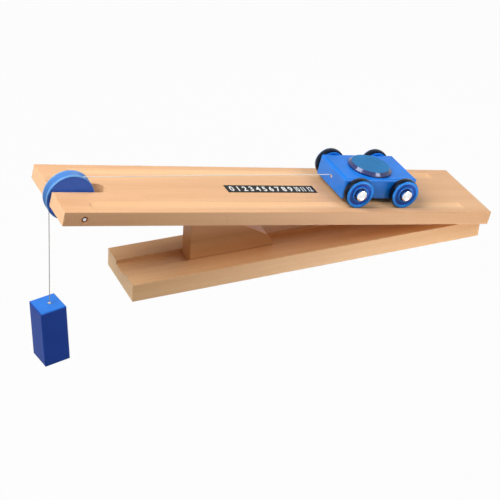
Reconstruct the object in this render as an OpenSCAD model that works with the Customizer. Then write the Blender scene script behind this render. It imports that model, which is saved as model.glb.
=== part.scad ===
// Classroom inclined plane: a ramp hinged to a base, a support block that slides along the base
// and sets the angle, and a toy car that a string ties, over a pulley, to a hanging weight.
// Millimetres. The origin is the middle of the base's underside, +X points to the hinge end
// and +Z up. The ramp rises towards -X.

/* [Base] */
// Length of the base board
base_l = 495; // [450:5:540]
// Width of the base board
base_w = 89.5; // [80:0.5:100]
// Thickness of the base board
base_t = 25; // [20:1:32]
// Width of the channel that guides the support block
channel_w = 28; // [24:1:32]
// Depth of the channel
channel_d = 5.5; // [4:0.5:8]

/* [Ramp] */
// Length of the ramp board
ramp_l = 600; // [560:5:660]
// Width of the ramp board
ramp_w = 119; // [112:1:132]
// Thickness of the ramp board
ramp_t = 18.5; // [16:0.5:22]
// Angle of the ramp as it is set up, in degrees
incline = 10.4; // [9.5:0.1:15]
// How far the ramp's lower end reaches past the hinge pin
ramp_overhang = 3.4; // [3:0.1:6]
// Width of a wheel groove at the ramp's surface
groove_w = 16; // [14:0.5:18]
// Depth of a wheel groove
groove_d = 2.3; // [1.2:0.1:2.6]
// From the ramp's lower end to the lower end of a groove
groove_low = 35; // [25:1:45]
// From the ramp's upper end to the upper end of a groove
groove_high = 36; // [25:1:45]
// Radius of the eased edges of the boards
board_ease = 0.8; // [0.4:0.1:1.5]

/* [Label] */
// Length of the label plate
label_l = 127; // [90:1:150]
// Width of the label plate
label_w = 18; // [12:1:24]
// Thickness of the label plate
label_t = 0.4; // [0.3:0.1:1]
// From the ramp's lower end to the middle of the label plate
label_at = 304.5; // [300:0.5:340]

/* [Hinge] */
// Width of the hinge across the boards
hinge_w = 70; // [64:1:78]
// Length of each hinge leaf, from the pin
hinge_leaf_l = 22; // [18:1:28]
// Thickness of the hinge leaves
leaf_t = 1; // [0.8:0.1:1.2]
// Outer diameter of the hinge barrel
barrel_d = 4; // [3.6:0.1:5]
// Diameter of the hinge pin
pin_d = 2; // [1.6:0.1:2.2]
// Number of knuckles in the barrel
knuckles = 5; // [3:2:7]
// Gap between the two boards at the hinge pin
board_gap = 2.1; // [1.6:0.1:3]
// From the base's end to the hinge pin
hinge_inset = 2.5; // [2:0.5:4]
// Shank diameter of the hinge screws
screw_d = 2.6; // [2:0.1:3]
// Length of the hinge screws
screw_l = 11; // [8:0.5:12]

/* [Support block] */
// Length of the support block along the base
block_l = 115; // [100:0.5:124]
// Height of the support block
block_h = 80.5; // [76:0.1:86]
// Radius of the rounded toe of the block
toe_r = 28; // [24:1:36]
// Radius of the top edge that carries the ramp
block_edge_r = 4; // [2:0.5:6]

/* [Pulley] */
// Outer diameter of the pulley
pulley_d = 59.8; // [50:0.2:66]
// Width of the pulley
pulley_w = 15.8; // [13:0.2:18]
// Depth of the pulley's string groove
track_depth = 6.3; // [3:0.1:8]
// Width of the string groove at the rim
track_w = 10.5; // [8:0.5:12]
// From the ramp's upper end to the pulley axle
pulley_inset = 26.2; // [24:0.1:34]
// From the ramp's top down to the pulley axle
pulley_depth = 10; // [8:0.1:11]
// Gap on each side of the pulley in its slot
slot_gap = 3.1; // [1.5:0.1:4]
// From the pulley's rim to the inner end of the slot
slot_reach = 15.4; // [10:0.1:20]
// Diameter of the pulley axle
pulley_axle_d = 4; // [3:0.5:5]
// Diameter of the recess round each end of the pulley axle
recess_d = 8.5; // [7:0.5:9]
// Depth of those recesses
recess_depth = 4; // [2:0.5:6]

/* [Car] */
// Length of the car body
car_l = 107.4; // [98:0.1:120]
// Width of the car body
car_w = 71; // [62:1:76]
// Height of the car body
car_h = 27.4; // [22:0.2:34]
// Gap between the ramp's top and the car's underside
car_clear = 6.1; // [5:0.1:9]
// From the ramp's lower end to the middle of the car
car_start = 168.4; // [150:0.1:172]
// Radius of the front edge of the car's roof
nose_r = 4.5; // [2:0.5:18]
// Radius of the roof's long edges and the car's upright edges
roof_r = 3.5; // [2:0.5:6]
// Radius of the car's other edges
car_ease = 1.5; // [1:0.5:3]
// Diameter of the disc on the roof
disc_d = 58; // [40:0.5:64]
// Height of the disc on the roof
disc_h = 6; // [4:0.5:10]
// Disc's place along the ramp, from the car's middle
disc_along = -1.1; // [-4:0.1:4]
// Disc's place across the ramp, from the car's middle
disc_across = -2.2; // [-4:0.1:4]
// Height of the string's hole above the ramp's top
tow_h = 22; // [20:0.5:24]

/* [Wheels] */
// Distance between the front and rear axles
wheelbase = 68; // [56:1:76]
// Diameter of the tyres
tyre_d = 39.8; // [36:0.2:42]
// Diameter of the wheels' outer ring
rim_d = 37.6; // [35:0.2:38.4]
// Width of a wheel
wheel_w = 10.6; // [9:0.2:12]
// Diameter of the car's axles
axle_d = 4; // [3:0.5:5]
// Diameter of the axle caps
cap_d = 14.2; // [10:0.2:15]
// How far an axle cap stands out past its wheel
cap_out = 6.8; // [4:0.2:8]

/* [Weight and string] */
// Side of the square weight
weight_w = 34.8; // [28:0.2:40]
// Height of the weight
weight_h = 81; // [60:1:95]
// Radius of the weight's eased edges
weight_ease = 2.4; // [0.5:0.1:4]
// Turn of the weight about its string, in degrees
weight_turn = 9; // [0:1:45]
// How far off centre the string enters the weight
tie_offset = 2.4; // [0:0.1:5]
// Length of string that hangs below the pulley axle
hang_l = 148.5; // [100:0.5:180]
// Diameter of the string
string_d = 1.2; // [0.8:0.1:1.6]
// Diameter of the holes that take the string
tie_hole_d = 5; // [4:0.5:6]

/* [Clearances] */
// Gap under the support block and under the ramp it carries
slide_gap = 0.3; // [0.2:0.05:0.5]
// Gap on each side of the support block in its channel
block_play = 1.25; // [0.5:0.05:2]
// Gap between a tyre and the bottom of its groove
tyre_gap = 0.3; // [0.2:0.05:0.5]
// Gap between the string and the bottom of the pulley's groove
string_gap = 0.1; // [0.05:0.05:0.3]
// Gap between the pulley and the washers beside it
washer_gap = 0.4; // [0.3:0.05:0.6]
// Radial clearance of a wheel or the pulley on its axle
run_fit = 0.08; // [0.03:0.01:0.1]
// Radial clearance of a pin, screw or peg that stays put
snug_fit = 0.04; // [0.02:0.01:0.08]
// Gap between a wheel and the car's side
wheel_gap = 0.7; // [0.5:0.1:1.5]

/* [Hidden] */
$fn = 64;
over = 1;            // how far a cut runs past the face it opens
cone_steps = 96;

beech = "#e6b888";
blue = "#2f80e4";
black = "#16181c";
steel = "#c9ccd0";
brass = "#c7a75a";
thread = "#e8e6e0";

// Hinge line, and the ramp board in its own frame: x along the ramp, z square to it, pin at zero
barrel_r = barrel_d / 2;
hinge_x = base_l / 2 - hinge_inset;
leaf_reach = barrel_r + slide_gap;
leaf_face = leaf_reach - leaf_t;
ramp_under = board_gap / 2;
pocket_d = leaf_reach - ramp_under;
hinge_z = base_t + ramp_under;
ramp_top = ramp_under + ramp_t;
ramp_high = ramp_overhang - ramp_l;
knuckle_w = hinge_w / knuckles;
knuckle_gap = 0.3;
screw_head_d = screw_d + 2 * leaf_t;
screw_x = hinge_leaf_l * 0.6;
screw_inner = channel_w / 2 + screw_head_d;
screw_outer = hinge_w / 2 - screw_head_d;

// Support block: its sloping face is tangent to the edge that carries the ramp and to the toe
block_w = channel_w - 2 * block_play;
block_z = base_t - channel_d + slide_gap;
block_rise = block_h - block_edge_r;
block_run = block_l - toe_r - block_edge_r;
arc_proud = 0.02;    // how far the arcs stand out of the flat faces they join
block_slope = acos((toe_r - block_edge_r) / norm([block_run, block_rise])) - atan2(block_run, block_rise);
edge_lift = block_z + block_rise - hinge_z;
edge_reach = (edge_lift * cos(incline) + block_edge_r + slide_gap - ramp_under) / sin(incline);
block_x = hinge_x - edge_reach - block_edge_r;

// Car and wheels, in the ramp's frame
axle_z = ramp_top + tyre_d / 2 - groove_d + tyre_gap;
car_x = ramp_overhang - car_start;
car_z = ramp_top + car_clear;
car_front = car_x - car_l / 2;
wheel_y = car_w / 2 + wheel_gap;
flange_t = 1.4;
lip_t = 0.8;
lip_h = 1;
tyre_t = wheel_w - flange_t - lip_t - 2 * snug_fit;
tyre_mid = lip_t + snug_fit + tyre_t / 2;
tyre_wall = 3.4;
seat_r = tyre_d / 2 - tyre_wall;
crown_r = 12.6;
ring_w = 3.4;
ring_ease = 0.6;
hub_bead = 1.2;
hub_bead_at = cap_d / 2 + 3;
face_depth = 1.6;
hub_boss_r = axle_d / 2 + 3;
hub_boss_t = 0.3;
cap_seat = wheel_w - 1.2;
cap_gap = 0.3;
cap_dome = 2.8;
cap_wall = 1.4;
cap_l = wheel_w + cap_out - cap_seat;
cap_side = cap_l - cap_dome;
cap_bore = cap_l - cap_wall;
axle_half = wheel_y + cap_seat + cap_bore;
groove_y = wheel_y + wheel_w / 2;
groove_r = (pow(groove_w / 2, 2) + pow(groove_d, 2)) / (2 * groove_d);
disc_bevel = 0.62 * disc_h;
dowel_d = 8;
dowel_in_disc = disc_h / 2;
dowel_in_body = 9;

// Pulley and string: the string runs from the car, over the pulley, and hangs plumb
pulley_r = pulley_d / 2;
pulley_x = ramp_high + pulley_inset;
pulley_z = ramp_top - pulley_depth;
slot_w = pulley_w + 2 * slot_gap;
slot_end = pulley_x + pulley_r + slot_reach;
washer_d = pulley_axle_d * 2.5;
washer_t = slot_gap - washer_gap;
axle_sink = 1;
string_r = string_d / 2;
track_r = pulley_r - track_depth + string_r + string_gap;
tow_x = car_front - pulley_x;
tow_z = ramp_top + tow_h - pulley_z;
tow_reach = norm([tow_x, tow_z]);
leave_angle = atan2(tow_z, tow_x) + acos(track_r / tow_reach);
run_l = sqrt(pow(tow_reach, 2) - pow(track_r, 2));
hang_angle = 180 + incline;
pulley_world_x = hinge_x + pulley_x * cos(incline) + pulley_z * sin(incline);
pulley_world_z = hinge_z - pulley_x * sin(incline) + pulley_z * cos(incline);
drop_x = pulley_world_x - track_r;
tie_z = pulley_world_z - hang_l;
weight_tilt = atan(tie_offset / (weight_h / 2));
tie_depth = 14;
peg_sink = 2.6;
peg_l = tie_depth - peg_sink;
string_in = 2.2;
tow_peg_sink = 0.8;
tow_peg_drop = 2.2;
tow_bore_d = string_d + 0.6;

// Places what is drawn in the ramp's frame
module on_ramp() {
    translate([hinge_x, 0, hinge_z]) rotate([0, incline, 0]) children();
}

// Places what is drawn in the weight's frame: the string's tie at zero, the block's axis along Z
module on_weight() {
    translate([drop_x, 0, tie_z]) rotate([0, -weight_tilt, 0]) children();
}

// Turns a profile drawn as [radius, along Y] about the Y axis
module turned_y() {
    rotate([-90, 0, 0]) rotate_extrude() children();
}

module rod_y(d, l) {
    rotate([90, 0, 0]) cylinder(d = d, h = l, center = true);
}

module round_rect(w, h, r) {
    square([w - 2 * r, h], center = true);
    square([w, h - 2 * r], center = true);
    for (sx = [-1, 1], sy = [-1, 1])
        translate([sx * (w / 2 - r), sy * (h / 2 - r)]) circle(r);
}

// Box about the origin whose twelve edges are eased with radius r
module eased_box(l, w, h, r) {
    intersection() {
        linear_extrude(h, center = true) round_rect(l, w, r);
        rotate([90, 0, 0]) linear_extrude(w, center = true) round_rect(l, h, r);
        rotate([90, 0, 90]) linear_extrude(l, center = true) round_rect(w, h, r);
    }
}

// Countersunk screw pointing down from z = 0, grown by gap where it is cut out of a piece
module screw(gap = 0) {
    r = screw_d / 2 + gap;
    head_r = screw_head_d / 2 + gap;
    top = gap > 0 ? over : 0;
    rotate_extrude()
        polygon([[0, top], [head_r, top], [head_r, 0], [r, -leaf_t], [r, -screw_l + r - gap],
                 [0, -screw_l - gap]]);
}

// Repeats a hinge screw at its four places, on a leaf whose outer face is z = 0
module at_screws() {
    for (side = [-1, 1], y = [screw_inner, screw_outer])
        translate([-screw_x, side * y, 0]) children();
}

// One hinge leaf with its pin on the Y axis and its plate lying under it, towards -X
module hinge_leaf(first) {
    difference() {
        union() {
            translate([-hinge_leaf_l, -hinge_w / 2, -leaf_reach])
                cube([hinge_leaf_l - barrel_r - knuckle_gap, hinge_w, leaf_t]);
            for (i = [first : 2 : knuckles - 1])
                translate([0, -hinge_w / 2 + (i + 0.5) * knuckle_w, 0]) {
                    rod_y(barrel_d, knuckle_w - knuckle_gap);
                    translate([-barrel_d, -(knuckle_w - knuckle_gap) / 2, -leaf_reach])
                        cube([barrel_d, knuckle_w - knuckle_gap, leaf_t]);
                }
        }
        rod_y(pin_d + 2 * run_fit, hinge_w + 2 * over);
        translate([0, 0, -leaf_face]) at_screws() screw(snug_fit);
    }
}

// Pocket that lets a hinge leaf into its board, open at the board's end
module hinge_pocket() {
    translate([-hinge_leaf_l - slide_gap, -hinge_w / 2 - slide_gap, -leaf_reach])
        cube([hinge_leaf_l + slide_gap + max(hinge_inset, ramp_overhang) + over, hinge_w + 2 * slide_gap,
              pocket_d + over]);
}

module base_board() color(beech) {
    difference() {
        translate([0, 0, base_t / 2]) eased_box(base_l, base_w, base_t, board_ease);
        translate([-base_l / 2 - over, -channel_w / 2, base_t - channel_d])
            cube([base_l + 2 * over, channel_w, channel_d + over]);
        translate([hinge_x, 0, hinge_z]) hinge_pocket();
        translate([hinge_x, 0, hinge_z - leaf_face]) at_screws() screw(snug_fit);
    }
}

module hinge_leaf_base() color(brass) {
    translate([hinge_x, 0, hinge_z]) hinge_leaf(0);
}

module hinge_pin() color(brass) {
    translate([hinge_x, 0, hinge_z]) rod_y(pin_d, hinge_w);
}

module hinge_screws_base() color(brass) {
    translate([hinge_x, 0, hinge_z - leaf_face]) at_screws() screw();
}

// Side view of the support block, its lower corner away from the hinge at zero
module block_profile() {
    slope_out = [sin(block_slope), cos(block_slope)];
    edge = [block_edge_r - arc_proud, block_rise];
    toe = [block_l - toe_r, 0];
    toe_end = toe + (toe_r - arc_proud) * slope_out;
    edge_end = edge + (block_edge_r - arc_proud) * slope_out;
    polygon([[0, 0], toe, toe_end, edge_end, edge, [0, block_rise]]);
    translate(edge) circle(block_edge_r);
    intersection() {
        translate(toe) circle(toe_r);
        translate([toe.x - over, 0]) square([toe_r + 2 * over, toe_r + over]);
    }
}

module support_block() color(beech) {
    translate([block_x, block_w / 2, block_z]) rotate([90, 0, 0]) linear_extrude(block_w) block_profile();
}

// Round-bottomed track for the tyres of one side, with ball ends
module groove(side) {
    low = ramp_overhang - groove_low - groove_w / 2;
    high = ramp_high + groove_high + groove_w / 2;
    translate([0, side * groove_y, ramp_top - groove_d + groove_r]) {
        translate([high, 0, 0]) rotate([0, 90, 0]) cylinder(r = groove_r, h = low - high, $fn = cone_steps);
        for (x = [low, high]) translate([x, 0, 0]) sphere(groove_r, $fn = cone_steps);
    }
}

// Slot that holds the pulley: open at the ramp's upper end, round at the other
module pulley_slot() {
    straight = slot_end - slot_w / 2 - ramp_high;
    translate([ramp_high - over, -slot_w / 2, ramp_under - over])
        cube([straight + over, slot_w, ramp_t + 2 * over]);
    translate([slot_end - slot_w / 2, 0, ramp_under - over]) cylinder(d = slot_w, h = ramp_t + 2 * over);
}

module ramp_board() color(beech) {
    on_ramp() difference() {
        translate([(ramp_overhang + ramp_high) / 2, 0, (ramp_under + ramp_top) / 2])
            eased_box(ramp_l, ramp_w, ramp_t, board_ease);
        for (side = [-1, 1]) groove(side);
        pulley_slot();
        translate([pulley_x, 0, pulley_z]) {
            rod_y(pulley_axle_d + 2 * snug_fit, ramp_w + 2 * over);
            for (side = [-1, 1])
                translate([0, side * ramp_w / 2, 0]) rod_y(recess_d, 2 * recess_depth);
        }
        rotate([180, 0, 0]) {
            hinge_pocket();
            translate([0, 0, -leaf_face]) at_screws() screw(snug_fit);
        }
    }
}

module hinge_leaf_ramp() color(brass) {
    on_ramp() rotate([180, 0, 0]) hinge_leaf(1);
}

module hinge_screws_ramp() color(brass) {
    on_ramp() rotate([180, 0, 0]) translate([0, 0, -leaf_face]) at_screws() screw();
}

module label_plate() color(black) {
    on_ramp() translate([ramp_overhang - label_at - label_l / 2, -label_w / 2, ramp_top])
        cube([label_l, label_w, label_t]);
}

module pulley_axle() color(steel) {
    on_ramp() translate([pulley_x, 0, pulley_z]) rod_y(pulley_axle_d, ramp_w - 2 * axle_sink);
}

module pulley_washers() color(steel) {
    on_ramp() translate([pulley_x, 0, pulley_z]) for (side = [-1, 1])
        translate([0, side * (slot_w / 2 - washer_t / 2), 0]) difference() {
            rod_y(washer_d, washer_t);
            rod_y(pulley_axle_d + 2 * snug_fit, washer_t + over);
        }
}

module pulley() color(blue) {
    rim = (pulley_w - track_w) / 2;
    ease = rim / 4;
    on_ramp() translate([pulley_x, 0, pulley_z]) turned_y() difference() {
        translate([0, -pulley_w / 2]) square([pulley_r, pulley_w]);
        square([pulley_axle_d + 2 * run_fit, pulley_w + over], center = true);
        polygon([[pulley_r + over, -track_w / 2], [pulley_r, -track_w / 2],
                 [pulley_r - track_depth, -string_d], [pulley_r - track_depth, string_d],
                 [pulley_r, track_w / 2], [pulley_r + over, track_w / 2]]);
        for (side = [-1, 1])
            translate([pulley_r, side * pulley_w / 2]) rotate(45) square(ease * 2, center = true);
    }
}

// Roof and sides of the car: soft edges round the roof and up its corners, eased edges elsewhere
module car_shell() {
    translate([0, 0, car_h / 2]) intersection() {
        rotate([90, 0, 0]) linear_extrude(car_w, center = true) intersection() {
            round_rect(car_l, car_h, car_ease);
            translate([nose_r, -nose_r]) round_rect(car_l + 2 * nose_r, car_h + 2 * nose_r, nose_r);
        }
        linear_extrude(car_h, center = true) round_rect(car_l, car_w, roof_r);
        rotate([90, 0, 90]) linear_extrude(car_l, center = true) intersection() {
            round_rect(car_w, car_h, car_ease);
            translate([0, -roof_r]) round_rect(car_w, car_h + 2 * roof_r, roof_r);
        }
    }
}

// Hole drilled into the car's front, along the ramp, for the peg
module tow_hole() {
    translate([car_front - over, 0, ramp_top + tow_h - tow_peg_drop])
        rotate([0, 90, 0]) cylinder(d = tie_hole_d, h = tie_depth + over);
}

// Bore for the string, along the top of the peg
module tow_bore() {
    translate([car_front - over, 0, ramp_top + tow_h]) rotate([0, 90, 0])
        cylinder(d = tow_bore_d, h = tow_peg_sink + string_in + 2 * over);
}

module car_body() color(blue) {
    on_ramp() difference() {
        translate([car_x, 0, car_z]) car_shell();
        for (end = [-1, 1])
            translate([car_x + end * wheelbase / 2, 0, axle_z])
                rod_y(axle_d + 2 * snug_fit, car_w + 2 * over);
        translate([car_x + disc_along, disc_across, car_z + car_h - dowel_in_body])
            cylinder(d = dowel_d + 2 * snug_fit, h = dowel_in_body + over);
        tow_hole();
        tow_bore();
    }
}

module roof_disc() color(blue) {
    on_ramp() translate([car_x + disc_along, disc_across, car_z + car_h]) difference() {
        rotate_extrude()
            polygon([[0, 0], [disc_d / 2, 0], [disc_d / 2, disc_h - disc_bevel],
                     [disc_d / 2 - disc_bevel, disc_h], [0, disc_h]]);
        translate([0, 0, -over]) cylinder(d = dowel_d + 2 * snug_fit, h = dowel_in_disc + over);
    }
}

module roof_dowel() color(beech) {
    on_ramp() translate([car_x + disc_along, disc_across, car_z + car_h - dowel_in_body + snug_fit])
        cylinder(d = dowel_d, h = dowel_in_body + dowel_in_disc - 2 * snug_fit);
}

module car_axle(end) {
    on_ramp() translate([car_x + end * wheelbase / 2, 0, axle_z]) rod_y(axle_d, 2 * axle_half);
}

module front_axle() color(steel) car_axle(-1);

module rear_axle() color(steel) car_axle(1);

// Places what is drawn as a wheel, its inner face at y = 0 and its outer face towards +Y
module at_wheel(end, side) {
    on_ramp() translate([car_x + end * wheelbase / 2, side * wheel_y, axle_z])
        mirror([0, side < 0 ? 1 : 0, 0]) children();
}

// Domed cap that holds a wheel on its axle
module axle_cap() {
    r = cap_d / 2;
    dome_r = (r * r + cap_dome * cap_dome) / (2 * cap_dome);
    difference() {
        turned_y() {
            translate([0, cap_seat]) square([r, cap_side]);
            intersection() {
                translate([0, cap_seat + cap_l - dome_r]) circle(dome_r, $fn = cone_steps);
                translate([0, cap_seat + cap_side]) square([r, cap_dome + over]);
            }
        }
        translate([0, cap_seat, 0]) rod_y(axle_d + 2 * snug_fit, 2 * (cap_bore + snug_fit));
    }
}

module axle_caps() color(steel) {
    for (end = [-1, 1], side = [-1, 1]) at_wheel(end, side) axle_cap();
}

module string_peg() color(beech) {
    on_ramp() difference() {
        translate([car_front + tow_peg_sink, 0, ramp_top + tow_h - tow_peg_drop]) rotate([0, 90, 0])
            cylinder(d = tie_hole_d - 2 * snug_fit, h = tie_depth - tow_peg_sink - snug_fit);
        tow_bore();
    }
}

// Blue wheel: an inner lip and an outer ring hold the tyre, and a bead on its face runs round the cap
module wheel() {
    bore_r = axle_d / 2 + run_fit;
    ring_r = rim_d / 2 - ring_w;
    face = wheel_w - face_depth;
    hub_floor = cap_seat - cap_gap;
    turned_y() difference() {
        union() {
            translate([0, -hub_boss_t]) square([hub_boss_r, hub_boss_t + over]);
            square([seat_r + lip_h, lip_t]);
            square([seat_r, face]);
            translate([ring_r, face - over]) square([seat_r - ring_r, over + face_depth - flange_t / 2]);
            translate([ring_r + ring_w / 2, wheel_w - flange_t / 2]) round_rect(ring_w, flange_t, ring_ease);
            translate([hub_bead_at, wheel_w - hub_bead / 2]) circle(hub_bead);
            translate([hub_bead_at - hub_bead, face - over]) square([2 * hub_bead, face_depth]);
        }
        translate([-over, -2 * over]) square([bore_r + over, wheel_w + 4 * over]);
        translate([0, hub_floor]) square([hub_bead_at - hub_bead, wheel_w]);
    }
}

// Tyre: a slightly crowned band that sits between the wheel's lip and ring
module tyre() {
    turned_y() intersection() {
        translate([tyre_d / 2 - crown_r, tyre_mid]) circle(crown_r, $fn = cone_steps);
        translate([seat_r + snug_fit, tyre_mid - tyre_t / 2]) square([tyre_d, tyre_t]);
    }
}

module wheel_front_left() color(blue) at_wheel(-1, -1) wheel();

module wheel_front_right() color(blue) at_wheel(-1, 1) wheel();

module wheel_rear_left() color(blue) at_wheel(1, -1) wheel();

module wheel_rear_right() color(blue) at_wheel(1, 1) wheel();

module tyre_front_left() color(black) at_wheel(-1, -1) tyre();

module tyre_front_right() color(black) at_wheel(-1, 1) tyre();

module tyre_rear_left() color(black) at_wheel(1, -1) tyre();

module tyre_rear_right() color(black) at_wheel(1, 1) tyre();

// String from the pulley's top to the peg in the car's front
module string_run() color(thread) {
    on_ramp() translate([pulley_x, 0, pulley_z])
        translate(track_r * [cos(leave_angle), 0, sin(leave_angle)])
            rotate([0, 180 - leave_angle, 0]) cylinder(d = string_d, h = run_l + tow_peg_sink + string_in);
}

// String round the pulley, from where it leaves for the car to where it hangs
module string_wrap() color(thread) {
    on_ramp() translate([pulley_x, 0, pulley_z]) rotate([90, 0, 0]) rotate([0, 0, leave_angle])
        rotate_extrude(angle = hang_angle - leave_angle) translate([track_r, 0]) circle(d = string_d);
}

// String that hangs plumb from the pulley into the weight's hole
module string_drop() color(thread) {
    translate([drop_x, 0, tie_z - string_in]) cylinder(d = string_d, h = hang_l + string_in);
}

module weight_block() color(blue) {
    on_weight() difference() {
        translate([-tie_offset, 0, -weight_h / 2]) rotate([0, 0, weight_turn])
            eased_box(weight_w, weight_w, weight_h, weight_ease);
        translate([0, 0, -tie_depth]) cylinder(d = tie_hole_d, h = tie_depth + over);
    }
}

module weight_peg() color(beech) {
    on_weight() translate([0, 0, -tie_depth]) cylinder(d = tie_hole_d - 2 * snug_fit, h = peg_l);
}

base_board();
hinge_leaf_base();
hinge_pin();
hinge_screws_base();
support_block();
ramp_board();
hinge_leaf_ramp();
hinge_screws_ramp();
label_plate();
pulley_axle();
pulley_washers();
string_run();
pulley();
car_body();
roof_disc();
roof_dowel();
front_axle();
rear_axle();
axle_caps();
string_peg();
wheel_front_left();
wheel_front_right();
wheel_rear_left();
wheel_rear_right();
tyre_front_left();
tyre_front_right();
tyre_rear_left();
tyre_rear_right();
string_wrap();
string_drop();
weight_block();
weight_peg();
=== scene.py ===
"""Dresses the inclined plane: camera, light, string, label scale and procedural finishes."""
import math

import bmesh
import bpy
from mathutils import Matrix, Vector


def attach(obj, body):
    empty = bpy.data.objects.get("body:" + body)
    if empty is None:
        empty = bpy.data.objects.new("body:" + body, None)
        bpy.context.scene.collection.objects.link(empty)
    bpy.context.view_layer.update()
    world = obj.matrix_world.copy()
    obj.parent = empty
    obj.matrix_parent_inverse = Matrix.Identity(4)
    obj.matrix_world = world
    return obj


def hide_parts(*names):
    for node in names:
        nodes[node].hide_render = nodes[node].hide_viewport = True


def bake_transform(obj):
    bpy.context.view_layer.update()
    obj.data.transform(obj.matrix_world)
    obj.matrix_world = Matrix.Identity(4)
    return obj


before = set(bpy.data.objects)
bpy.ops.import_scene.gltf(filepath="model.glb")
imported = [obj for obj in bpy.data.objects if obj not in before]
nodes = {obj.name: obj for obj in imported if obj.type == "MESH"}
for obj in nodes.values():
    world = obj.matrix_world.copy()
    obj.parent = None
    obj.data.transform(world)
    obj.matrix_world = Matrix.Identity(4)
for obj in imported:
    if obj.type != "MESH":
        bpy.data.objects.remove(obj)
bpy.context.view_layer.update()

# Places in metres, as the part's source gives them
INCLINE = math.radians(10.4)
HINGE = Vector((0.245, 0, 0.02605))
TURN = Matrix.Rotation(INCLINE, 4, "Y")
PULLEY = (-0.5704, 0.00955)
TRACK_R = 0.0243
TOW = (-0.2187, 0.04155)
TOW_IN = 0.003
HANG = 0.1485
TIE_IN = 0.0022
STRING_D = 0.0012
LABEL_X, LABEL_Z = -0.3011, 0.01995
FRONT_AXLE = (0.0560, 0, 0.0988)
REAR_AXLE = (0.1229, 0, 0.0865)
# The wheel grooves: how far from the middle they lie, and the middle and half of their length along the grain
GROOVE_Y = 0.0415
GROOVE_SPAN = (-0.0598, 0.2620)


def made(name, bm, smooth=False):
    """An object in the scene with the shape of bm, which is freed."""
    mesh = bpy.data.meshes.new(name)
    bm.to_mesh(mesh)
    bm.free()
    if smooth:
        mesh.polygons.foreach_set("use_smooth", [True] * len(mesh.polygons))
    obj = bpy.data.objects.new(name, mesh)
    bpy.context.collection.objects.link(obj)
    return obj


def ramp(x, y, z):
    """A point of the ramp's own frame, in the row frame."""
    return HINGE + TURN @ Vector((x, y, z))


# Camera

camera = bpy.data.objects.new("camera", bpy.data.cameras.new("camera"))
bpy.context.collection.objects.link(camera)
bpy.context.scene.camera = camera
camera.data.sensor_width = 36
camera.data.lens = 108.5
camera.data.clip_start, camera.data.clip_end = 0.05, 60
right = Vector((0.9108, -0.4079, 0.0642)).normalized()
back = Vector((-0.3772, -0.7586, 0.5313)).normalized()
up = back.cross(right).normalized()
right = up.cross(back)
turn = Matrix((right, up, back)).transposed().to_4x4()
camera.matrix_world = Matrix.Translation((-0.8008, -1.4688, 1.0421)) @ turn


# String

LAY_STEP = 0.0006
LAY_PITCH = 0.0042
STRANDS, STRAND_SIDES = 2, 7
STRAND_R = STRING_D * 0.27
WRAP_PARTS = 48


def path_points(points, step):
    """The same line with a point about every step."""
    out = [points[0]]
    for a, b in zip(points, points[1:]):
        n = max(1, round((b - a).length / step))
        out += [a.lerp(b, i / n) for i in range(1, n + 1)]
    return out


def twisted(name, points):
    """A laid string along points: strands that wind round each other inside the string's diameter."""
    off = STRING_D / 2 - STRAND_R
    bm = bmesh.new()
    along = 0.0
    rings = [[] for _ in range(STRANDS)]
    for i, p in enumerate(points):
        ahead = points[min(i + 1, len(points) - 1)]
        behind = points[max(i - 1, 0)]
        t = (ahead - behind).normalized()
        if i:
            along += (p - points[i - 1]).length
        u = Vector((0, 1, 0))
        v = t.cross(u).normalized()
        for s in range(STRANDS):
            a = 2 * math.pi * (along / LAY_PITCH + s / STRANDS)
            c = p + off * (math.cos(a) * u + math.sin(a) * v)
            rings[s].append([
                bm.verts.new(c + STRAND_R * (math.cos(b) * u + math.sin(b) * v))
                for b in (2 * math.pi * k / STRAND_SIDES for k in range(STRAND_SIDES))
            ])
    for line in rings:
        for r0, r1 in zip(line, line[1:]):
            for k in range(STRAND_SIDES):
                after = (k + 1) % STRAND_SIDES
                bm.faces.new((r0[k], r0[after], r1[after], r1[k]))
        bm.faces.new(reversed(line[0]))
        bm.faces.new(line[-1])
    bmesh.ops.recalc_face_normals(bm, faces=bm.faces)
    return made(name, bm, smooth=True)


tow = (TOW[0] - PULLEY[0], TOW[1] - PULLEY[1])
reach = math.hypot(*tow)
leave = math.atan2(tow[1], tow[0]) + math.acos(TRACK_R / reach)
run_l = math.sqrt(reach ** 2 - TRACK_R ** 2)
wrap_turn = math.pi + INCLINE - leave


def on_track(a):
    """The string's middle on the pulley, at angle a in the ramp's own frame."""
    return ramp(PULLEY[0] + TRACK_R * math.cos(a), 0, PULLEY[1] + TRACK_R * math.sin(a))


pulley_at = ramp(PULLEY[0], 0, PULLEY[1])
run_way = (ramp(TOW[0], 0, TOW[1]) - on_track(leave)).normalized()
run_end = on_track(leave) + run_way * (run_l + TOW_IN)
hang_top = pulley_at + Vector((-TRACK_R, 0, 0))
hang_end = hang_top - Vector((0, 0, HANG + TIE_IN))
wrap = [on_track(leave + wrap_turn * i / WRAP_PARTS) for i in range(WRAP_PARTS + 1)]

run_path = path_points([run_end, on_track(leave)], LAY_STEP)
drop_path = path_points([hang_top, hang_end], LAY_STEP)
wrap_path = path_points(wrap, LAY_STEP)
string_run = twisted("string_car_to_pulley", run_path)
string_wrap = twisted("string_over_pulley", wrap_path)
string_drop = twisted("string_to_weight", drop_path)
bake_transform(string_run)
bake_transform(string_wrap)
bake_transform(string_drop)
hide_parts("string_run")
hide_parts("string_wrap")
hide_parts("string_drop")

KNOT_SINK = 0.0004
KNOT_R = 0.00048
KNOT_HIGH = 1.4
KNOT_PARTS = 72
KNOT_STEP = 0.0002
TAIL_L, TAIL_ASIDE, TAIL_LIFT = 0.0022, 0.0006, 0.0008
TAIL_PARTS = 12


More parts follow.
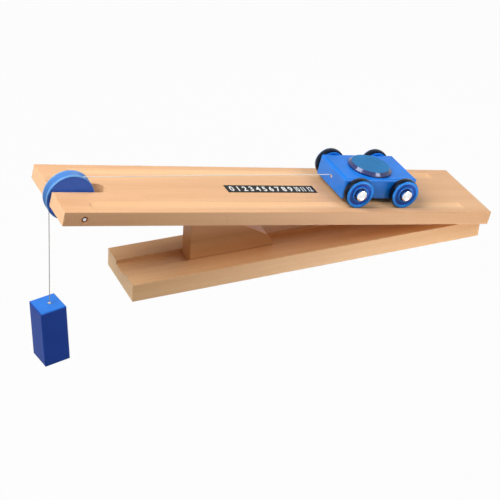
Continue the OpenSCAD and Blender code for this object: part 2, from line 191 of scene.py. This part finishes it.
def knot():
    """The string's end, knotted in the mouth of the weight's hole, with its two loose tails."""
    tie = hang_end + Vector((0, 0, TIE_IN - KNOT_SINK))
    loop = []
    for i in range(KNOT_PARTS + 1):
        t = 2 * math.pi * i / KNOT_PARTS
        x = math.sin(t) + 2 * math.sin(2 * t)
        y = math.cos(t) - 2 * math.cos(2 * t)
        loop.append(tie + KNOT_R * Vector((x, y, -KNOT_HIGH * math.sin(3 * t))))
    tails = []
    for side in (-1, 1):
        tail = []
        for k in range(TAIL_PARTS + 1):
            u = k / TAIL_PARTS
            lift = TAIL_LIFT * math.sin(math.pi * u)
            tail.append(tie + Vector((side * TAIL_L * u, -TAIL_ASIDE * side * u, lift)))
        tails.append(tail)
    bm = bmesh.new()
    for line in (loop, *tails):
        part = twisted("strand", path_points(line, KNOT_STEP))
        bm.from_mesh(part.data)
        mesh = part.data
        bpy.data.objects.remove(part)
        bpy.data.meshes.remove(mesh)
    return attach(made("string_knot", bm, smooth=True), "weight")


string_knot = knot()


# Label

LAST_NUMBER = 12
NUMBER_SIZE, NUMBER_PITCH, NUMBER_BOLD = 0.0155, 0.0093, 0.00042
NUMBER_FOOT, NUMBER_LIFT = -0.0054, 0.00003
ONE_DIGIT, TWO_DIGITS = 0.78, 0.50


def label_marks():
    """A row of plain numbers from 0 on the label's face, each narrowed to fit its place."""
    bm = bmesh.new()
    for i in range(LAST_NUMBER + 1):
        text = bpy.data.curves.new("digits", "FONT")
        text.body = str(i)
        text.size = NUMBER_SIZE
        text.align_x = "CENTER"
        text.space_character = 0.92
        text.offset = NUMBER_BOLD
        text.resolution_u = 5
        holder = bpy.data.objects.new("digits", text)
        bpy.context.collection.objects.link(holder)
        bpy.context.view_layer.update()
        graph_now = bpy.context.evaluated_depsgraph_get()
        shape = bpy.data.meshes.new_from_object(holder.evaluated_get(graph_now))
        narrow = ONE_DIGIT if i < 10 else TWO_DIGITS
        x = LABEL_X + (i - LAST_NUMBER // 2) * NUMBER_PITCH
        place = Matrix.Translation((x, NUMBER_FOOT, LABEL_Z + NUMBER_LIFT))
        shape.transform(Matrix.Translation(HINGE) @ TURN @ place @ Matrix.Diagonal((narrow, 1, 1, 1)))
        bm.from_mesh(shape)
        bpy.data.objects.remove(holder)
        bpy.data.curves.remove(text)
        bpy.data.meshes.remove(shape)
    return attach(made("label_numbers", bm), "ramp")


label_numbers = label_marks()


# Finishes

def graph(name):
    mat = bpy.data.materials.new(name)
    mat.use_nodes = True
    return mat, mat.node_tree, mat.node_tree.nodes["Principled BSDF"]


def add(tree, kind, values=None, **props):
    node = tree.nodes.new(kind)
    for key, value in props.items():
        setattr(node, key, value)
    for key, value in (values or {}).items():
        if isinstance(value, bpy.types.NodeSocket):
            tree.links.new(value, node.inputs[key])
        else:
            node.inputs[key].default_value = value
    return node


def stretched(tree, vector, scale):
    return add(tree, "ShaderNodeVectorMath", {0: vector, 1: scale}, operation="MULTIPLY").outputs[0]


def noise(tree, vector, scale=1.0, detail=2.0, rough=0.5):
    return add(tree, "ShaderNodeTexNoise",
               {"Vector": vector, "Scale": scale, "Detail": detail, "Roughness": rough}).outputs["Fac"]


def ramped(tree, fac, stops):
    node = add(tree, "ShaderNodeValToRGB", {"Fac": fac})
    ends = node.color_ramp.elements
    while len(ends) < len(stops):
        ends.new(0.5)
    for e, (at, colour) in zip(ends, stops):
        e.position = at
        e.color = (*colour, 1)
    return node.outputs["Color"]


def mixed(tree, fac, a, b, how="MIX"):
    return add(tree, "ShaderNodeMix", {0: fac, 6: a, 7: b}, data_type="RGBA", blend_type=how).outputs[2]


def scaled(tree, fac, low, high, start=0.0, end=1.0):
    limits = {"From Min": start, "From Max": end, "To Min": low, "To Max": high}
    return add(tree, "ShaderNodeMapRange", {"Value": fac, **limits}).outputs["Result"]


def bumped(tree, shader, height, strength, distance, normal=None):
    bump = add(tree, "ShaderNodeBump", {"Height": height, "Strength": strength, "Distance": distance})
    if normal:
        tree.links.new(normal, bump.inputs["Normal"])
    tree.links.new(bump.outputs["Normal"], shader.inputs["Normal"])


def within(tree, value, middle, half):
    return add(tree, "ShaderNodeMath", {0: value, 1: middle, 2: half}, operation="COMPARE").outputs[0]


def times(tree, a, b):
    return add(tree, "ShaderNodeMath", {0: a, 1: b}, operation="MULTIPLY").outputs[0]


BEECH_PALE, BEECH_MID = (0.80, 0.485, 0.262), (0.76, 0.435, 0.228)
BEECH_DEEP, BEECH_FLECK = (0.68, 0.365, 0.182), (0.36, 0.17, 0.075)
# Each groove's near and far wall: its middle from the groove's, and how much paler it is painted, as painted
# light on the sloping walls, most on the far wall, which faces the front
GROOVE_WALL_LIGHT = ((-0.004, (1.02, 1.08, 1.10, 1)), (0.004, (1.13, 1.21, 1.28, 1)))
WALL_HALF = 0.004


def beech(name, tilt=0.0, shift=0.0, tone=(1, 1, 1), grooved=False):
    """Lacquered beech: bands, fine lines and short dark flecks along the grain, and rings on the ends, which
    are painted paler as painted light.
    """
    mat, tree, shader = graph(name)
    coord = add(tree, "ShaderNodeTexCoord")
    turn_back = (0, -tilt, 0)
    turned = add(tree, "ShaderNodeMapping", {
        "Vector": coord.outputs["Object"], "Rotation": turn_back, "Location": (shift, shift * 0.7, 0)})
    p = turned.outputs["Vector"]
    warp = add(tree, "ShaderNodeTexNoise", {
        "Vector": stretched(tree, p, (4, 14, 14)), "Scale": 1.0, "Detail": 2.0})
    sway = stretched(tree, warp.outputs["Color"], (0.0, 0.006, 0.006))
    wavy = add(tree, "ShaderNodeVectorMath", {0: p, 1: sway}, operation="ADD").outputs[0]
    bands = noise(tree, stretched(tree, wavy, (1.6, 34, 34)), 1, 3, 0.55)
    lines = noise(tree, stretched(tree, wavy, (9, 520, 520)), 1, 3, 0.6)
    fleck = noise(tree, stretched(tree, wavy, (210, 2100, 2100)), 1, 1, 0.5)
    pale, mid, deep, dark = (
        tuple(c * t for c, t in zip(colour, tone))
        for colour in (BEECH_PALE, BEECH_MID, BEECH_DEEP, BEECH_FLECK)
    )
    wood = ramped(tree, bands, [(0.30, deep), (0.50, mid), (0.70, pale)])
    wood = mixed(tree, scaled(tree, lines, 0.0, 0.34, 0.38, 0.72), wood, (*deep, 1))
    wood = mixed(tree, scaled(tree, fleck, 0.0, 0.42, 0.66, 0.74), wood, (*dark, 1))
    own = add(tree, "ShaderNodeMapping", {"Vector": coord.outputs["Normal"], "Rotation": turn_back})
    looks = add(tree, "ShaderNodeSeparateXYZ", {"Vector": own.outputs["Vector"]})
    endwise = add(tree, "ShaderNodeMath", {0: looks.outputs["X"]}, operation="ABSOLUTE").outputs[0]
    end = scaled(tree, endwise, 0.0, 1.0, 0.85, 0.97)
    rings = add(tree, "ShaderNodeTexWave", {
        "Vector": stretched(tree, wavy, (0, 60, 95)), "Scale": 1.4, "Distortion": 2.5, "Detail": 3.0,
    }, wave_type="RINGS").outputs["Fac"]
    # The end faces are painted paler than the sides: painted light on the ends, with the end grain's rings
    early, late = tuple(c * 1.12 for c in pale), tuple(min(1, c * 1.27) for c in pale)
    wood = mixed(tree, end, wood, ramped(tree, rings, [(0.1, early), (0.9, late)]))
    if grooved:
        place = add(tree, "ShaderNodeSeparateXYZ", {"Vector": p})
        upward = scaled(tree, looks.outputs["Z"], 0.0, 1.0, 0.4, 0.6)
        along = times(tree, within(tree, place.outputs["X"], *GROOVE_SPAN), upward)
        # Painted light: the groove walls are painted paler than the flat top
        for middle in (-GROOVE_Y, GROOVE_Y):
            for wall, painted_light in GROOVE_WALL_LIGHT:
                on_wall = times(tree, along, within(tree, place.outputs["Y"], middle + wall, WALL_HALF))
                wood = mixed(tree, on_wall, wood, mixed(tree, 1.0, wood, painted_light, "MULTIPLY"))
    tree.links.new(wood, shader.inputs["Base Color"])
    tree.links.new(scaled(tree, lines, 0.38, 0.52), shader.inputs["Roughness"])
    shader.inputs["Specular IOR Level"].default_value = 0.28
    height = add(tree, "ShaderNodeMath", {0: lines, 1: fleck}, operation="ADD").outputs[0]
    edge = add(tree, "ShaderNodeBevel", {"Radius": 0.0008}, samples=4)
    bumped(tree, shader, height, 0.10, 0.0004, edge.outputs["Normal"])
    return mat


def facing(tree, tilt, axis, start, end):
    """1 on faces that look up, or either way along Y, in the piece's own frame, and 0 on the rest."""
    normal = add(tree, "ShaderNodeTexCoord").outputs["Normal"]
    own = add(tree, "ShaderNodeMapping", {"Vector": normal, "Rotation": (0, -tilt, 0)}).outputs["Vector"]
    part = add(tree, "ShaderNodeSeparateXYZ", {"Vector": own}).outputs[axis]
    if axis == "Y":
        part = add(tree, "ShaderNodeMath", {0: part}, operation="ABSOLUTE").outputs[0]
    return scaled(tree, part, 0.0, 1.0, start, end)


RING_SPAN = 0.02


def gloss_paint(name, colour, rough=0.3, tilt=0.0, side_light_and_shade=None, rings=None, gloss=(0.5, 0.12),
                mask=("Z", 0.55, 0.9), shine=(1, 1, 1)):
    """Brushed gloss paint on wood: slight streaks, a soft skin and the wood's grain just under it.

    The faces in mask wear colour, and the rest wear the side colour where it is given, which is painted shade
    where it is darker and painted light where it is paler. gloss is the specular level of the rest and of the
    mask. rings multiplies the paint
    by its distance from an axle: painted shade in recesses and painted light on raised rings.
    """
    mat, tree, shader = graph(name)
    p = add(tree, "ShaderNodeTexCoord").outputs["Object"]
    cloud = noise(tree, p, 38, 3, 0.55)
    streak = noise(tree, stretched(tree, p, (9, 420, 420)), 1, 2, 0.5)
    skin = noise(tree, p, 900, 2, 0.5)
    top = facing(tree, tilt, *mask)
    dark = tuple(c * 0.86 for c in colour)
    light = tuple(min(1, c * 1.10) for c in colour)
    paint = ramped(tree, cloud, [(0.3, dark), (0.7, light)])
    paint = mixed(tree, scaled(tree, streak, 0.0, 0.16, 0.45, 0.75), paint, (*dark, 1))
    # Faces outside the mask take the side colour: painted shade or painted light, by how light falls on them
    if side_light_and_shade:
        deep = ramped(tree, cloud, [(0.3, tuple(c * 0.9 for c in side_light_and_shade)), (0.7, side_light_and_shade)])
        paint = mixed(tree, top, deep, paint)
    # Rings round the axle: painted shade in the recesses and painted light on the outer ring
    if rings:
        middle, stops = rings
        flat = add(tree, "ShaderNodeVectorMath", {0: p, 1: middle}, operation="SUBTRACT").outputs[0]
        share = stretched(tree, flat, (1 / RING_SPAN, 0, 1 / RING_SPAN))
        away = add(tree, "ShaderNodeVectorMath", {0: share}, operation="LENGTH")
        ring_light_and_shade = ramped(tree, away.outputs["Value"], [(r / RING_SPAN, v) for r, v in stops])
        paint = mixed(tree, 1.0, paint, ring_light_and_shade, "MULTIPLY")
    tree.links.new(paint, shader.inputs["Base Color"])
    tree.links.new(scaled(tree, skin, rough - 0.05, rough + 0.07), shader.inputs["Roughness"])
    tree.links.new(scaled(tree, top, *gloss), shader.inputs["Specular IOR Level"])
    shader.inputs["Specular Tint"].default_value = (*shine, 1)
    edge = add(tree, "ShaderNodeBevel", {"Radius": 0.0012}, samples=4)
    height = add(tree, "ShaderNodeMath", {0: streak, 1: skin}, operation="ADD").outputs[0]
    bumped(tree, shader, height, 0.05, 0.0003, edge.outputs["Normal"])
    return mat


def rubber(name):
    """Black tyre rubber with a faint bloom of dust, and reflections tinted blue as a painted reflection."""
    mat, tree, shader = graph(name)
    p = add(tree, "ShaderNodeTexCoord").outputs["Object"]
    dust = noise(tree, p, 160, 4, 0.6)
    skin = noise(tree, p, 2600, 2, 0.6)
    tree.links.new(ramped(tree, dust, [(0.35, (0.002, 0.003, 0.008)), (0.8, (0.006, 0.008, 0.016))]),
                   shader.inputs["Base Color"])
    tree.links.new(scaled(tree, dust, 0.10, 0.20), shader.inputs["Roughness"])
    shader.inputs["Specular IOR Level"].default_value = 0.22
    shader.inputs["Specular Tint"].default_value = (0.22, 0.50, 1.0, 1)
    bumped(tree, shader, skin, 0.10, 0.0002)
    return mat


def metal(name, colour, rough, lines):
    """Bright or brushed metal: fine lines or specks in its roughness, and a faint tarnish in its colour."""
    mat, tree, shader = graph(name)
    p = add(tree, "ShaderNodeTexCoord").outputs["Object"]
    fine = noise(tree, stretched(tree, p, lines), 1, 3, 0.6)
    dull = noise(tree, p, 90, 3, 0.6)
    shader.inputs["Metallic"].default_value = 1
    tree.links.new(ramped(tree, dull, [(0.3, tuple(c * 0.88 for c in colour)), (0.7, colour)]),
                   shader.inputs["Base Color"])
    tree.links.new(scaled(tree, fine, rough * 0.7, rough * 1.4), shader.inputs["Roughness"])
    bumped(tree, shader, fine, 0.04, 0.0002)
    return mat


def printed(name, colour, rough):
    """Printed film: fine specks in its colour and its roughness."""
    mat, tree, shader = graph(name)
    p = add(tree, "ShaderNodeTexCoord").outputs["Object"]
    speck = noise(tree, p, 2400, 3, 0.6)
    tree.links.new(ramped(tree, speck, [(0.3, tuple(c * 0.85 for c in colour)), (0.7, colour)]),
                   shader.inputs["Base Color"])
    tree.links.new(scaled(tree, speck, rough - 0.06, rough + 0.08), shader.inputs["Roughness"])
    shader.inputs["Specular IOR Level"].default_value = 0.08
    return mat


def cotton(name, dark, pale):
    """Cotton yarn: fine fibres from dark to pale, soiled in places."""
    mat, tree, shader = graph(name)
    p = add(tree, "ShaderNodeTexCoord").outputs["Object"]
    fibre = noise(tree, p, 5200, 3, 0.65)
    soil = noise(tree, p, 130, 2, 0.5)
    yarn = ramped(tree, fibre, [(0.25, dark), (0.75, pale)])
    tree.links.new(mixed(tree, scaled(tree, soil, 0.0, 0.2, 0.5, 0.8), yarn, (*dark, 1)),
                   shader.inputs["Base Color"])
    shader.inputs["Roughness"].default_value = 0.85
    shader.inputs["Sheen Weight"].default_value = 0.2
    bumped(tree, shader, fibre, 0.4, 0.0002)
    return mat


BLUE = (0.006, 0.200, 0.760)
# Distance from the axle, and what multiplies the wheel's paint there: painted shade in the gap round the cap
# and in the recessed ring, and painted light on the outer ring
RINGS = [(0.0086, (0.2, 0.1, 0.2)), (0.0090, (2.0, 1.00, 1.00)), (0.0112, (2.0, 1.00, 1.00)),
         (0.0116, (1.6, 0.46, 0.66)), (0.0150, (1.6, 0.50, 0.70)), (0.0154, (3.0, 1.45, 1.25))]
finish = {
    "ramp": beech("beech_ramp", INCLINE, grooved=True),
    "base": beech("beech_base", 0.0, 0.31, (1.03, 1.06, 1.00)),
    "block": beech("beech_block", 0.0, 0.77, (0.96, 0.86, 0.71)),
    "peg": beech("beech_peg", INCLINE, 0.5),
    "blue": gloss_paint("blue_paint", BLUE, tilt=INCLINE),
    # The disc's bevelled rim is painted dark navy and its reflections tinted blue: painted shade and painted
    # reflection of dark surroundings
    "disc": gloss_paint("blue_disc", (0.006, 0.185, 0.470), 0.10, INCLINE, (0.003, 0.013, 0.12),
                        gloss=(1.0, 0.05), mask=("Z", 0.95, 0.99), shine=(0.74, 0.80, 1.0)),
    # The weight's sides are painted navy, darker than its top, as painted shade
    "weight": gloss_paint("blue_weight", (0.014, 0.168, 0.640), 0.3, 0.0, (0.024, 0.077, 0.40),
                          gloss=(0.03, 0.3)),
    # The pulley's rim is painted paler than its faces, as painted light on the rim
    "pulley": gloss_paint("blue_pulley", (0.060, 0.165, 0.70), 0.3, INCLINE, (0.115, 0.345, 0.72),
                          gloss=(0.5, 0.10), mask=("Y", 0.8, 0.97)),
    "front_wheel": gloss_paint("blue_front_wheel", BLUE, 0.25, INCLINE, rings=(FRONT_AXLE, RINGS),
                               gloss=(0.3, 0.12)),
    "rear_wheel": gloss_paint("blue_rear_wheel", BLUE, 0.25, INCLINE, rings=(REAR_AXLE, RINGS),
                              gloss=(0.3, 0.12)),
    "rubber": rubber("tyre_rubber"),
    "cap": metal("cap_chrome", (0.92, 0.92, 0.93), 0.14, (1500, 1500, 1500)),
    "steel": metal("axle_steel", (0.66, 0.67, 0.69), 0.28, (900, 60, 900)),
    "brass": metal("hinge_brass", (0.72, 0.55, 0.26), 0.30, (60, 1200, 1200)),
    "label": printed("label_black", (0.012, 0.012, 0.012), 0.30),
    "ink": printed("label_ink", (0.86, 0.86, 0.84), 0.45),
    "string": cotton("string_cotton", (0.74, 0.72, 0.68), (0.95, 0.93, 0.89)),
    # The hanging stretch is painted darker than the rest of the string, as painted shade
    "shaded_string": cotton("string_shaded_cotton", (0.30, 0.285, 0.26), (0.52, 0.495, 0.45)),
}
WEARS = {
    "ramp_board": "ramp", "base_board": "base", "support_block": "block",
    "string_peg": "peg", "weight_peg": "peg", "roof_dowel": "peg",
    "roof_disc": "disc", "weight_block": "weight", "pulley": "pulley",
    "label_plate": "label", "axle_caps": "cap",
    "pulley_axle": "steel", "pulley_washers": "steel", "front_axle": "steel", "rear_axle": "steel",
    "wheel_front_left": "front_wheel", "wheel_front_right": "front_wheel",
    "wheel_rear_left": "rear_wheel", "wheel_rear_right": "rear_wheel",
}


def dress(obj, key):
    obj.data.materials.clear()
    obj.data.materials.append(finish[key])


for name, obj in nodes.items():
    if name.startswith("hinge"):
        dress(obj, "brass")
    elif name.startswith("tyre"):
        dress(obj, "rubber")
    elif name.startswith("string_") and name != "string_peg":
        dress(obj, "string")
    else:
        dress(obj, WEARS.get(name, "blue"))
# The hanging stretch wears the darker cotton: painted shade
for obj in (string_run, string_wrap, string_drop, string_knot):
    dress(obj, "shaded_string" if obj == string_drop else "string")
dress(label_numbers, "ink")


# Floor, light and background

FLOOR_HALF, FLOOR_Z = 12, -0.62
FLOOR_GREY = (0.45, 0.45, 0.45, 1)
WHITE = (1, 1, 1, 1)
WHITE_SHARE = 0.97


def white_rays(tree):
    """1 for the rays that see the white background: the camera's, and those in reflections and glass."""
    path = add(tree, "ShaderNodeLightPath")
    mirrored = {0: path.outputs["Is Glossy Ray"], 1: path.outputs["Is Transmission Ray"]}
    glass = add(tree, "ShaderNodeMath", mirrored, operation="MAXIMUM")
    return add(tree, "ShaderNodeMath", {0: path.outputs["Is Camera Ray"], 1: glass.outputs[0]},
               operation="MAXIMUM").outputs[0]


def floor():
    """A wide pale floor, below the lowest that the weight hangs."""
    bm = bmesh.new()
    bmesh.ops.create_grid(bm, x_segments=1, y_segments=1, size=FLOOR_HALF)
    obj = made("floor", bm)
    obj.location.z = FLOOR_Z
    mat, tree, shader = graph("floor_white")
    shader.inputs["Base Color"].default_value = FLOOR_GREY
    shader.inputs["Roughness"].default_value = 0.9
    shader.inputs["Specular IOR Level"].default_value = 0.1
    white = add(tree, "ShaderNodeEmission", {"Color": WHITE, "Strength": 1.0})
    share = times(tree, white_rays(tree), WHITE_SHARE)
    both = add(tree, "ShaderNodeMixShader", {0: share, 1: shader.outputs[0], 2: white.outputs[0]})
    tree.links.new(both.outputs[0], tree.nodes["Material Output"].inputs["Surface"])
    obj.data.materials.append(mat)


def lamp(name, at, aim, size, power, spread=180):
    """A square soft lamp that the camera does not see."""
    data = bpy.data.lights.new(name, "AREA")
    data.shape = "RECTANGLE"
    data.size = data.size_y = size
    data.energy = power
    data.spread = math.radians(spread)
    obj = bpy.data.objects.new(name, data)
    bpy.context.collection.objects.link(obj)
    obj.location = at
    obj.rotation_euler = (Vector(aim) - Vector(at)).to_track_quat("-Z", "Y").to_euler()
    obj.visible_camera = False
    return obj


floor()
MIDDLE = (-0.05, 0, 0.08)
lamp("key_light", (-1.3, 0.0, 1.8), MIDDLE, 1.65, 59)
lamp("fill_light", (1.0, -1.05, 1.25), MIDDLE, 0.8, 12.8)
lamp("left_spark", (-1.6, -1.5, 0.9), MIDDLE, 0.18, 0.9)
lamp("front_spark", (0.1, -2.0, 0.8), MIDDLE, 0.18, 2.0)
lamp("table_light", (0.30, -0.36, -0.45), (0.18, -0.05, 0.03), 0.3, 0.85, 85)
lamp("back_light", (1.3, 1.6, 0.35), MIDDLE, 1.0, 7).visible_glossy = False

world = bpy.data.worlds.new("studio")
bpy.context.scene.world = world
world.use_nodes = True
wt = world.node_tree
sky = wt.nodes["Background"]
sky.inputs["Color"].default_value = (0.06, 0.06, 0.06, 1)
white = add(wt, "ShaderNodeBackground", {"Color": WHITE, "Strength": 1.0})
either = add(wt, "ShaderNodeMixShader", {0: white_rays(wt), 1: sky.outputs[0], 2: white.outputs[0]})
wt.links.new(either.outputs[0], wt.nodes["World Output"].inputs["Surface"])
bpy.context.scene.view_settings.view_transform = "Standard"
